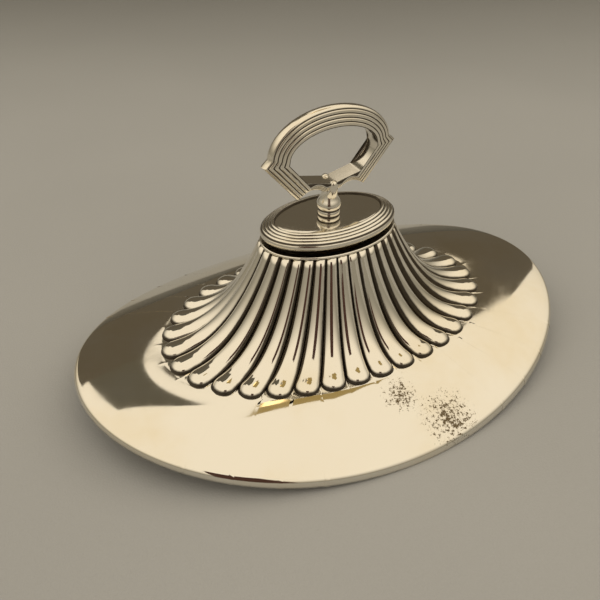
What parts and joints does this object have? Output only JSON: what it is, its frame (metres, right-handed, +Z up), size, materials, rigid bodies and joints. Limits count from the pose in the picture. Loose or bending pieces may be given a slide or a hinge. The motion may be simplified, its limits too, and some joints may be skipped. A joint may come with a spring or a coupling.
{
  "type": "oval serving cover with twist-off handle",
  "caption": "Oval silver-plated serving cover with a fluted boat-shaped dome, swept rim, reeded boss and a reeded loop handle that twists off.",
  "frame": {"origin": "under the middle of the neck, level with the lowest points of the rim", "axes": "+X along the long axis of the oval, +Y across it, +Z up through the handle; the cover stands on its rim and the loop lies in the XZ plane"},
  "size_m": [0.18, 0.129, 0.091],
  "materials": {
    "silver_plate": "polished, fluted, with dark patina left in the grooves",
    "handle_plate": "polished reeds with dark patina between them",
    "inner_plate": "duller plate inside the cover, where it is not rubbed",
    "nickel": "turned nickel silver fittings, unpolished",
    "spring": "rolled spring brass, dull"
  },
  "bodies": {
    "cover": {"cover_shell": "silver_plate", "flange": "inner_plate", "deck": "silver_plate", "socket_plate": "nickel"},
    "handle": {"boss_border": "handle_plate", "boss_plate": "handle_plate", "boss_base": "nickel", "clamp_nut": "nickel", "spring_washer": "spring", "spindle": "nickel", "cross_pin": "nickel", "stem": "handle_plate", "loop": "handle_plate"}
  },
  "joints": [
    {"name": "handle_twist", "type": "hinge", "parent": "cover", "child": "handle", "pos_m": [0, 0, 0.0488], "axis": [0, 0, 1], "range_deg": [0, 90]}
  ]
}
